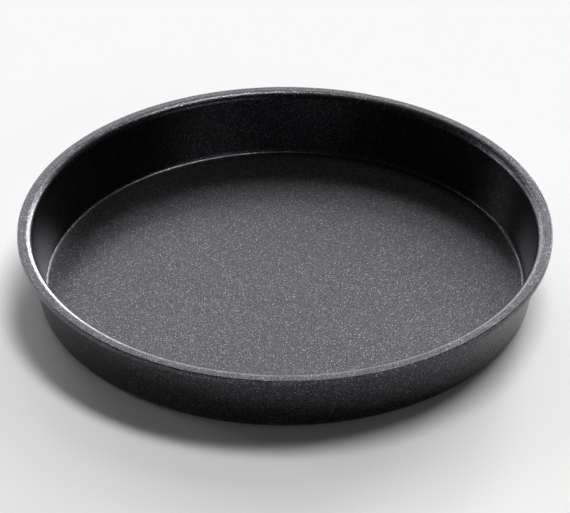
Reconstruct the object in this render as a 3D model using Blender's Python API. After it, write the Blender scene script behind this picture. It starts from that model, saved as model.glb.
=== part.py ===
"""A round oven dish with a flat rim, cast in one piece and coated all over.

Metres, +Z up. The origin is in the middle of the underside, where the dish stands.
"""
import math

import bmesh
import bpy
from mathutils import Matrix, Vector

# The dish as a whole
RIM_DIAMETER = 0.2900  # across the outer edge of the rim
DEPTH = 0.0356  # inside, from the floor to the top of the rim
WALL_LEAN = math.radians(10.0)  # how far the wall leans outwards from upright
CORNER_RADIUS = 0.0021  # between the floor and the wall
LIP_RADIUS = 0.0048  # where the wall rolls over into the rim

# The metal
FLOOR_THICKNESS = 0.0026
WALL_THICKNESS = 0.0034
HEEL_RADIUS = 0.0055  # outside, where the wall turns under into the base

# The rim
RIM_WIDTH = 0.0077  # from the wall's inner face, carried up to the rim's top, to the outer edge
RIM_THICKNESS = 0.0033
RIM_EDGE_RADIUS = 0.0005  # both outer corners of the rim
RIM_ROOT_RADIUS = 0.0015  # under the rim, where it grows out of the wall

# How finely the round forms are cut
SEGMENTS = 128  # around the dish
DEGREES_PER_STEP = 14.0  # along a rounded corner of the section
SHARP_ANGLE = math.radians(40.0)  # edges that bend more than this are shaded sharp
SAME_POINT = 1e-6  # points closer than this are one

# The non-stick coating
COATING_COLOUR = (0.018, 0.018, 0.019, 1.0)
COATING_ROUGHNESS = 0.36
COATING_METALLIC = 0.0


def clear_scene():
    for thing in list(bpy.data.objects):
        bpy.data.objects.remove(thing)


def coating():
    material = bpy.data.materials.new("non_stick_coating")
    material.use_nodes = True
    shader = material.node_tree.nodes["Principled BSDF"]
    shader.inputs["Base Color"].default_value = COATING_COLOUR
    shader.inputs["Roughness"].default_value = COATING_ROUGHNESS
    shader.inputs["Metallic"].default_value = COATING_METALLIC
    material.diffuse_color = COATING_COLOUR
    return material


def wall_corners():
    """The sharp corners of the half section, each with the radius that rounds it.

    They run from the middle of the floor out and up the inside, over the rim, down the outside
    and back under the base. The wall's outer face is parallel to its inner one.
    """
    slope = math.tan(WALL_LEAN)
    height = FLOOR_THICKNESS + DEPTH
    rim_underside = height - RIM_THICKNESS
    rim_edge = RIM_DIAMETER / 2
    mouth_edge = rim_edge - RIM_WIDTH
    floor_edge = mouth_edge - DEPTH * slope
    outer_foot = floor_edge - FLOOR_THICKNESS * slope + WALL_THICKNESS / math.cos(WALL_LEAN)
    rim_root = outer_foot + rim_underside * slope
    return [
        ((0.0, FLOOR_THICKNESS), 0.0),
        ((floor_edge, FLOOR_THICKNESS), CORNER_RADIUS),
        ((mouth_edge, height), LIP_RADIUS),
        ((rim_edge, height), RIM_EDGE_RADIUS),
        ((rim_edge, rim_underside), RIM_EDGE_RADIUS),
        ((rim_root, rim_underside), RIM_ROOT_RADIUS),
        ((outer_foot, 0.0), HEEL_RADIUS),
        ((0.0, 0.0), 0.0),
    ]


def rounded_corner(before, corner, after, radius):
    """Points of the arc that touches both sides of a corner."""
    to_before = (before - corner).normalized()
    to_after = (after - corner).normalized()
    half_angle = to_before.angle(to_after) / 2
    reach = radius / math.tan(half_angle)
    centre = corner + (to_before + to_after).normalized() * radius / math.sin(half_angle)
    start = corner + to_before * reach - centre
    finish = corner + to_after * reach - centre
    turn = start.angle_signed(finish)
    steps = max(2, math.ceil(abs(math.degrees(turn)) / DEGREES_PER_STEP))
    points = []
    for step in range(steps + 1):
        # A positive signed angle is a clockwise turn, and Matrix.Rotation turns the other way.
        points.append(centre + Matrix.Rotation(-turn * step / steps, 2) @ start)
    return points


def half_section():
    corners = [(Vector(place), radius) for place, radius in wall_corners()]
    points = [corners[0][0]]
    for index in range(1, len(corners) - 1):
        corner, radius = corners[index]
        points += rounded_corner(corners[index - 1][0], corner, corners[index + 1][0], radius)
    points.append(corners[-1][0])
    return points


def turned_about_z(points, segments):
    """A closed mesh from a half section whose two ends lie on the axis."""
    mesh = bmesh.new()
    ring = [mesh.verts.new((point.x, 0.0, point.y)) for point in points]
    edges = [mesh.edges.new(pair) for pair in zip(ring, ring[1:])]
    bmesh.ops.spin(
        mesh,
        geom=ring + edges,
        cent=(0.0, 0.0, 0.0),
        axis=(0.0, 0.0, 1.0),
        angle=2 * math.pi,
        steps=segments,
    )
    bmesh.ops.remove_doubles(mesh, verts=mesh.verts, dist=SAME_POINT)
    bmesh.ops.recalc_face_normals(mesh, faces=mesh.faces)
    return mesh


def dish_body():
    """Floor, wall and rim: one casting."""
    solid = turned_about_z(half_section(), SEGMENTS)
    data = bpy.data.meshes.new("dish_body")
    solid.to_mesh(data)
    solid.free()
    data.shade_smooth()
    data.set_sharp_from_angle(angle=SHARP_ANGLE)
    data.materials.append(coating())
    body = bpy.data.objects.new("dish_body", data)
    bpy.context.scene.collection.objects.link(body)
    return body


def main():
    clear_scene()
    body = dish_body()
    width, _, height = body.dimensions
    print(f"dish {width * 1000:.1f} mm across, {height * 1000:.1f} mm high")


main()
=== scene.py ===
import math

import bmesh
import bpy
from mathutils import Matrix, Vector


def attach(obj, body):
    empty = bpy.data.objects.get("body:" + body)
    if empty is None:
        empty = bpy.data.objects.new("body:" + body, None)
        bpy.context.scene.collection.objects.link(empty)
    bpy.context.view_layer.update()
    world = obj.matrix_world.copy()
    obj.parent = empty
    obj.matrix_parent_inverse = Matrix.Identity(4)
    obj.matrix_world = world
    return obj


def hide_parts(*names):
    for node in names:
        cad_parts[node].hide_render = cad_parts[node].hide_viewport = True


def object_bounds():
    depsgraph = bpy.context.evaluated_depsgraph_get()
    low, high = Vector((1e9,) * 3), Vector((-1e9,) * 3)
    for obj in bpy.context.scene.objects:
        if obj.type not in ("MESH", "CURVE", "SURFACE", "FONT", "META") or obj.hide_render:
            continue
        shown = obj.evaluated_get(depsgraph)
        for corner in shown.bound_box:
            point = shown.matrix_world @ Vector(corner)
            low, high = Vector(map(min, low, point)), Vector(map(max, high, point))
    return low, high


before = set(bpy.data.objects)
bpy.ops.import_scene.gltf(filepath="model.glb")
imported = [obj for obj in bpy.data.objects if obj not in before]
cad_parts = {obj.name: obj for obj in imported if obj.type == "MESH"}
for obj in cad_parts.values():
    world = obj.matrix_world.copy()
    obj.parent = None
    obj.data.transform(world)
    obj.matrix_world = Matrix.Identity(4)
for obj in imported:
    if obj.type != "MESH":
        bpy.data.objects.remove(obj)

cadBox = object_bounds()
mm = 0.001


# A socket that takes part in sums, so that a tree can be written as an expression
class Wire:
    def __init__(self, bench, socket):
        self.bench = bench
        self.socket = socket

    def __add__(self, other):
        return self.bench.maths("ADD", self, other)

    def __radd__(self, other):
        return self.bench.maths("ADD", other, self)

    def __sub__(self, other):
        return self.bench.maths("SUBTRACT", self, other)

    def __rsub__(self, other):
        return self.bench.maths("SUBTRACT", other, self)

    def __mul__(self, other):
        return self.bench.maths("MULTIPLY", self, other)

    def __rmul__(self, other):
        return self.bench.maths("MULTIPLY", other, self)

    def __truediv__(self, other):
        return self.bench.maths("DIVIDE", self, other)

    def __rtruediv__(self, other):
        return self.bench.maths("DIVIDE", other, self)

    def __pow__(self, power):
        return self.bench.maths("POWER", self, power)

    def __rpow__(self, base):
        return self.bench.maths("POWER", base, self)

    def __abs__(self):
        return self.bench.maths("ABSOLUTE", self)

    def cos(self):
        return self.bench.maths("COSINE", self)


# A node tree to build on
class Bench:
    def __init__(self, tree):
        self.tree = tree
        tree.nodes.clear()

    def node(self, kind, settings=None, sockets=None):
        made = self.tree.nodes.new(kind)
        for name, value in (settings or {}).items():
            setattr(made, name, value)
        for key, value in (sockets or {}).items():
            self.feed(made.inputs[key], value)
        return Outputs(self, made)

    def feed(self, socket, value):
        if isinstance(value, Wire):
            self.tree.links.new(value.socket, socket)
        else:
            socket.default_value = value

    def maths(self, operation, first, second=None):
        sockets = {0: first} if second is None else {0: first, 1: second}
        return self.node("ShaderNodeMath", {"operation": operation}, sockets)[0]

    # Vector sums, for directions, places and colours
    def vectors(self, operation, first, second, output="Vector"):
        sockets = {0: first, 1: second}
        return self.node("ShaderNodeVectorMath", {"operation": operation}, sockets)[output]

    def scaled(self, vector, factor):
        sockets = {"Vector": vector, "Scale": factor}
        return self.node("ShaderNodeVectorMath", {"operation": "SCALE"}, sockets)["Vector"]

    # 0 below low, 1 above high, with a soft step between; it falls instead if low is above high
    def softStep(self, value, low, high):
        sockets = {"Value": value, "From Min": low, "From Max": high}
        return self.node("ShaderNodeMapRange", {"interpolation_type": "SMOOTHSTEP"}, sockets)[0]


# The outputs of a node, each as a wire
class Outputs:
    def __init__(self, bench, made):
        self.bench = bench
        self.made = made

    def __getitem__(self, key):
        return Wire(self.bench, self.made.outputs[key])


def addObject(name, data):
    made = bpy.data.objects.new(name, data)
    bpy.context.scene.collection.objects.link(made)
    return made


# Camera: the photograph's place, 34 degrees above the table and 1.75 m away with a long lens
camera = {
    "elevation": 33.79,     # degrees above the table
    "distance": 1.7545,     # metres, from half way up the dish
    "sensorWidth": 36.0,    # millimetres
    "frameWidth": 570,      # pixels
    "frameHeight": 513,
    "focalPixels": 3215.0,  # focal length in pixels of this frame
    "axisRow": 253.0,       # the pixel row of the point half way up the dish
    "farthest": 200.0,      # metres
}


def makeCamera():
    low, high = cadBox
    aim = (low + high) / 2
    tilt = math.radians(camera["elevation"])
    lens = bpy.data.cameras.new("camera")
    lens.sensor_width = camera["sensorWidth"]
    lens.lens = lens.sensor_width * camera["focalPixels"] / camera["frameWidth"]
    lens.shift_y = (camera["axisRow"] - camera["frameHeight"] / 2) / camera["frameWidth"]
    lens.clip_end = camera["farthest"]
    stand = addObject("camera", lens)
    stand.location = aim + camera["distance"] * Vector((0.0, -math.cos(tilt), math.sin(tilt)))
    stand.rotation_euler = (math.pi / 2 - tilt, 0.0, 0.0)
    bpy.context.scene.camera = stand
    bpy.context.scene.view_settings.view_transform = "Standard"
    print("camera in place")


# Studio: soft boxes far away, drawn on the sky, so that the whole floor is lit evenly.
# All but the level is in degrees. Azimuth 0 is straight behind the dish as the camera sees it,
# and grows to the right. The edge is the width of the soft border, the level is the brightness.
softBoxes = {
    "key": {"azimuth": 14.5, "elevation": 11.0,
            "width": 12.0, "height": 21.5, "edge": 4.5, "level": 25.0},
    "keySide": {"azimuth": 34.0, "elevation": 15.5,
                "width": 18.5, "height": 8.0, "edge": 4.0, "level": 23.0},
    "backHigh": {"azimuth": 20.0, "elevation": 42.0,
                 "width": 40.0, "height": 10.0, "edge": 8.0, "level": 2.4},
    "backMiddle": {"azimuth": 8.0, "elevation": 26.0,
                   "width": 20.0, "height": 9.0, "edge": 6.0, "level": 1.8},
    "backRight": {"azimuth": 24.0, "elevation": 29.0,
                  "width": 14.0, "height": 8.0, "edge": 5.0, "level": 9.5},
    "backLeft": {"azimuth": -19.5, "elevation": 23.5,
                 "width": 30.0, "height": 22.5, "edge": 4.5, "level": 3.3},
    "backLow": {"azimuth": -18.0, "elevation": 4.0,
                "width": 63.0, "height": 24.0, "edge": 11.0, "level": 3.1},
    "sideBack": {"azimuth": -64.0, "elevation": 20.5,
                 "width": 10.0, "height": 32.0, "edge": 5.0, "level": 2.2},
    "sideLeft": {"azimuth": -72.0, "elevation": 4.5,
                 "width": 24.0, "height": 12.0, "edge": 5.0, "level": 4.0},
    "overhead": {"azimuth": 40.0, "elevation": 72.0,
                 "width": 30.0, "height": 12.0, "edge": 4.0, "level": 15.0},
    "frontRight": {"azimuth": 145.0, "elevation": 22.0,
                   "width": 30.0, "height": 9.0, "edge": 6.0, "level": 2.0},
}
room = 0.03  # the level of the unlit studio
floor = {
    "radius": 60.0,    # metres, out to where the pale ground ends
    "sides": 64,
    "drop": 0.2 * mm,  # under the dish's base
    "colour": (0.93, 0.93, 0.93, 1.0),
    "roughness": 1.0,
    "gloss": 0.0,      # matt paper mirrors nothing
}


def direction(azimuth, elevation):
    a, e = math.radians(azimuth), math.radians(elevation)
    return Vector((math.sin(a) * math.cos(e), math.cos(a) * math.cos(e), math.sin(e)))


# A soft-edged rectangle on the sky, square to its own direction
def softBox(bench, way, box):
    ahead = direction(box["azimuth"], box["elevation"])
    across = direction(box["azimuth"] + 90.0, 0.0)
    up = across.cross(ahead)
    depth = bench.vectors("DOT_PRODUCT", way, tuple(ahead), "Value")
    fade = 0.05          # a box lights only its own half of the sky, and fades at its border
    smallestCore = 0.1   # degrees, for a box that is all soft edge
    shape = bench.softStep(depth, 0.0, fade)
    for axis, size in ((across, box["width"]), (up, box["height"])):
        offset = abs(bench.vectors("DOT_PRODUCT", way, tuple(axis), "Value") / depth)
        inner = math.tan(math.radians(max(size - box["edge"], smallestCore) / 2))
        outer = math.tan(math.radians((size + box["edge"]) / 2))
        shape = shape * bench.softStep(offset, outer, inner)
    return shape * box["level"]


def makeStudio():
    world = bpy.data.worlds.new("studio")
    world.use_nodes = True
    bpy.context.scene.world = world
    bench = Bench(world.node_tree)
    way = bench.node("ShaderNodeTexCoord")["Generated"]
    light = room
    for box in softBoxes.values():
        light = light + softBox(bench, way, box)
    sockets = {"Color": (1.0, 1.0, 1.0, 1.0), "Strength": light}
    sky = bench.node("ShaderNodeBackground", None, sockets)
    bench.node("ShaderNodeOutputWorld", None, {"Surface": sky[0]})
    print("studio lit by", len(softBoxes), "soft boxes")


def makeFloor():
    sheet = bmesh.new()
    bmesh.ops.create_circle(sheet, cap_ends=True, radius=floor["radius"], segments=floor["sides"])
    mesh = bpy.data.meshes.new("floor")
    sheet.to_mesh(mesh)
    sheet.free()
    mesh.transform(Matrix.Translation((0.0, 0.0, cadBox[0].z - floor["drop"])))
    ground = addObject("floor", mesh)
    paper = bpy.data.materials.new("floor_paper")
    paper.use_nodes = True
    shader = paper.node_tree.nodes["Principled BSDF"]
    shader.inputs["Base Color"].default_value = floor["colour"]
    shader.inputs["Roughness"].default_value = floor["roughness"]
    shader.inputs["Specular IOR Level"].default_value = floor["gloss"]
    mesh.materials.append(paper)
    print("floor laid")


# The non-stick coating: a nearly black film with light flakes in it
coating = {
    "colour": (0.0020, 0.0020, 0.0014, 1.0),
    "roughness": 0.28,
    "ior": 1.35,
    "flakes": {                      # two sizes of flake
        "fine": {
            "spacing": 0.40 * mm,    # from one flake to the next
            "scatter": 0.9,          # 0 lays them on a grid, 1 at random
            "radius": 0.45,          # of a flake, as a share of the spacing
            "share": 1.0,            # of the places that hold a flake
            "gloss": 0.43,           # how far the brightest one shows through the film
            "power": 0.8,            # below 1 most are bright, above 1 most are dull
            "tilt": 0.10,            # the steepest lean, as a slope
        },
        "coarse": {
            "spacing": 0.75 * mm,
            "scatter": 1.0,
            "radius": 0.33,
            "share": 0.18,
            "gloss": 1.0,
            "power": 0.2,
            "tilt": 0.06,
        },
    },
    "flakeBlur": 0.25,               # softness of a flake's edge, as a share of its radius
    "flakeColour": (0.42, 0.41, 0.49, 1.0),
    "flakeRoughness": 0.28,
    "peelSize": 1.8 * mm,            # the film's faint orange peel
    "peelDepth": 0.006 * mm,
    "peelDetail": 2.0,               # how many finer waves lie in the peel
}


# How much of a flake lies at each place, from 0 to 1, and which way it is tilted
def flakes(bench, place, kind):
    settings = {"voronoi_dimensions": "3D", "feature": "F1"}
    sockets = {"Vector": place, "Scale": 1.0 / kind["spacing"], "Randomness": kind["scatter"]}
    cells = bench.node("ShaderNodeTexVoronoi", settings, sockets)
    chance = bench.node("ShaderNodeSeparateColor", None, {0: cells["Color"]})
    blur = coating["flakeBlur"]
    outer, inner = kind["radius"] * (1.0 + blur), kind["radius"] * (1.0 - blur)
    edge = bench.softStep(cells["Distance"], outer, inner)
    empty = 1.0 - kind["share"]
    sharpStep = 0.01
    chosen = bench.softStep(chance["Red"], empty, empty + sharpStep)
    shine = chance["Green"] ** kind["power"]
    amount = edge * chosen * shine * kind["gloss"]
    middle = 0.5  # of a random colour, which leaves a flake level
    lean = bench.vectors("SUBTRACT", cells["Color"], (middle, middle, middle))
    return amount, bench.scaled(lean, edge * chosen * (kind["tilt"] / middle))


def coatingMaterial():
    film = bpy.data.materials.new("non_stick_coating")
    film.use_nodes = True
    bench = Bench(film.node_tree)
    place = bench.node("ShaderNodeTexCoord")["Object"]
    fine, fineLean = flakes(bench, place, coating["flakes"]["fine"])
    coarse, coarseLean = flakes(bench, place, coating["flakes"]["coarse"])
    amount = bench.maths("MAXIMUM", fine, coarse)
    sockets = {"Vector": place, "Scale": 1.0 / coating["peelSize"], "Detail": coating["peelDetail"]}
    peel = bench.node("ShaderNodeTexNoise", None, sockets)
    sockets = {"Strength": 1.0, "Distance": coating["peelDepth"], "Height": peel["Fac"]}
    bumpy = bench.node("ShaderNodeBump", None, sockets)["Normal"]
    leaning = bench.vectors("ADD", bumpy, bench.vectors("ADD", fineLean, coarseLean))
    tilted = bench.node("ShaderNodeVectorMath", {"operation": "NORMALIZE"}, {0: leaning})["Vector"]
    dark = bench.node("ShaderNodeBsdfPrincipled", None, {
        "Base Color": coating["colour"],
        "Roughness": coating["roughness"],
        "IOR": coating["ior"],
        "Normal": bumpy,
    })
    bright = bench.node("ShaderNodeBsdfPrincipled", None, {
        "Base Color": coating["flakeColour"],
        "Metallic": 1.0,
        "Roughness": coating["flakeRoughness"],
        "Normal": tilted,
    })
    surface = bench.node("ShaderNodeMixShader", None, {0: amount, 1: dark[0], 2: bright[0]})
    bench.node("ShaderNodeOutputMaterial", None, {"Surface": surface[0]})
    return film


# The dish's half section, in metres. The overall size comes from the frame.
dish = {
    "rimWidth": 7.7 * mm,
    "rimThickness": 3.3 * mm,
    "rimEdgeRadius": 0.5 * mm,
    "rimRootRadius": 1.5 * mm,
    "lipRadius": 4.8 * mm,
    "wallLean": 10.0,            # degrees out from upright
    "wallThickness": 3.4 * mm,
    "cornerRadius": 2.1 * mm,
    "floorThickness": 2.6 * mm,
    "heelRadius": 5.5 * mm,
    "cornerSteps": 16,           # edges along each rounded corner
    "segments": 448,             # sides round the dish
}


# The tree takes each size as a named input and turns the half section round the Z axis
def dishTree(film):
    tree = bpy.data.node_groups.new("turned_dish", "GeometryNodeTree")
    sizes = {
        "Rim Radius": cadBox[1].x,
        "Height": cadBox[1].z - cadBox[0].z,
        "Rim Width": dish["rimWidth"],
        "Rim Thickness": dish["rimThickness"],
        "Rim Edge Radius": dish["rimEdgeRadius"],
        "Rim Root Radius": dish["rimRootRadius"],
        "Lip Radius": dish["lipRadius"],
        "Wall Slope": math.tan(math.radians(dish["wallLean"])),
        "Wall Thickness": dish["wallThickness"],
        "Corner Radius": dish["cornerRadius"],
        "Floor Thickness": dish["floorThickness"],
        "Heel Radius": dish["heelRadius"],
    }
    counts = {"Corner Steps": dish["cornerSteps"], "Segments": dish["segments"]}
    for name in sizes:
        tree.interface.new_socket(name, in_out="INPUT", socket_type="NodeSocketFloat")
    for name in counts:
        tree.interface.new_socket(name, in_out="INPUT", socket_type="NodeSocketInt")
    tree.interface.new_socket("Geometry", in_out="OUTPUT", socket_type="NodeSocketGeometry")
    bench = Bench(tree)
    size = bench.node("NodeGroupInput")

    # The sharp corners, each with its radius: floor, up the inside, over the rim, down the outside
    rimEdge, height, slope = size["Rim Radius"], size["Height"], size["Wall Slope"]
    mouthEdge = rimEdge - size["Rim Width"]
    floorTop = size["Floor Thickness"]
    floorEdge = mouthEdge - (height - floorTop) * slope
    rimUnder = height - size["Rim Thickness"]
    lean = bench.maths("ARCTANGENT", slope)
    foot = floorEdge - floorTop * slope + size["Wall Thickness"] / lean.cos()
    corners = [
        (0.0, floorTop, 0.0),
        (floorEdge, floorTop, size["Corner Radius"]),
        (mouthEdge, height, size["Lip Radius"]),
        (rimEdge, height, size["Rim Edge Radius"]),
        (rimEdge, rimUnder, size["Rim Edge Radius"]),
        (foot + rimUnder * slope, rimUnder, size["Rim Root Radius"]),
        (foot, 0.0, size["Heel Radius"]),
        (0.0, 0.0, 0.0),
    ]
    count = len(corners)
    index = bench.node("GeometryNodeInputIndex")["Index"]
    places = bench.node("GeometryNodeIndexSwitch", {"data_type": "VECTOR"}, {"Index": index})
    radii = bench.node("GeometryNodeIndexSwitch", {"data_type": "FLOAT"}, {"Index": index})
    while len(places.made.index_switch_items) < count:
        places.made.index_switch_items.new()
        radii.made.index_switch_items.new()
    for number, (across, up, radius) in enumerate(corners):
        corner = bench.node("ShaderNodeCombineXYZ", None, {"X": across, "Y": 0.0 - up})["Vector"]
        bench.feed(places.made.inputs[str(number)], corner)
        bench.feed(radii.made.inputs[str(number)], radius)
    line = bench.node("GeometryNodeMeshLine", None, {"Count": count})["Mesh"]
    sockets = {"Geometry": line, "Position": places["Output"]}
    bent = bench.node("GeometryNodeSetPosition", None, sockets)[0]
    section = bench.node("GeometryNodeMeshToCurve", None, {"Mesh": bent})["Curve"]
    rounded = bench.node("GeometryNodeFilletCurve", {"mode": "POLY"}, {
        "Curve": section,
        "Count": size["Corner Steps"],
        "Radius": radii["Output"],
        "Limit Radius": True,
    })["Curve"]

    # The path is a circle, so the section is moved in by its radius to turn about the axis itself
    turn = 0.1
    shift = bench.node("ShaderNodeCombineXYZ", None, {"X": -turn})["Vector"]
    moved = bench.node("GeometryNodeSetPosition", None, {"Geometry": rounded, "Offset": shift})[0]
    sockets = {"Resolution": size["Segments"], "Radius": turn}
    path = bench.node("GeometryNodeCurvePrimitiveCircle", None, sockets)[0]
    sockets = {"Curve": path, "Profile Curve": moved}
    turned = bench.node("GeometryNodeCurveToMesh", None, sockets)["Mesh"]
    samePoint = 0.001 * mm
    sockets = {"Geometry": turned, "Distance": samePoint}
    closed = bench.node("GeometryNodeMergeByDistance", None, sockets)["Geometry"]
    sockets = {"Geometry": closed, "Shade Smooth": True}
    smooth = bench.node("GeometryNodeSetShadeSmooth", None, sockets)[0]

    # Each point takes the normals of the faces round it by their area, so that the flats stay flat
    normal = bench.node("GeometryNodeInputNormal")["Normal"]
    area = bench.node("GeometryNodeInputMeshFaceArea")[0]
    facing = bench.scaled(normal, area)
    settings = {"domain": "FACE", "data_type": "FLOAT_VECTOR"}
    perFace = bench.node("GeometryNodeFieldOnDomain", settings, {"Value": facing})["Value"]
    toSquareMillimetres = 1.0e6  # areas in square metres are too near zero to sum
    summed = bench.scaled(perFace, toSquareMillimetres)
    settings = {"mode": "FREE", "domain": "POINT"}
    sockets = {"Mesh": smooth, "Custom Normal": summed}
    shaded = bench.node("GeometryNodeSetMeshNormal", settings, sockets)["Mesh"]
    real = bench.node("GeometryNodeRealizeInstances", None, {"Geometry": shaded})["Geometry"]
    sockets = {"Geometry": real, "Material": film}
    coated = bench.node("GeometryNodeSetMaterial", None, sockets)["Geometry"]
    bench.node("NodeGroupOutput", None, {"Geometry": coated})
    return tree, {**sizes, **counts}


def makeDish():
    film = coatingMaterial()
    tree, values = dishTree(film)
    blank = addObject("dish_tree", bpy.data.meshes.new("dish_tree"))
    modifier = blank.modifiers.new("turned_dish", "NODES")
    modifier.node_group = tree
    for item in tree.interface.items_tree:
        if item.in_out == "INPUT":
            modifier[item.identifier] = values[item.name]
    blank.update_tag()
    bpy.context.view_layer.update()
    graph = bpy.context.evaluated_depsgraph_get()
    mesh = bpy.data.meshes.new_from_object(blank.evaluated_get(graph))
    bpy.data.objects.remove(blank)
    mesh.name = "dish"
    body = addObject("dish", mesh)
    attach(body, "root")
    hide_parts("dish_body")
    print("dish turned:", len(mesh.polygons), "faces")


makeCamera()
makeStudio()
makeFloor()
makeDish()
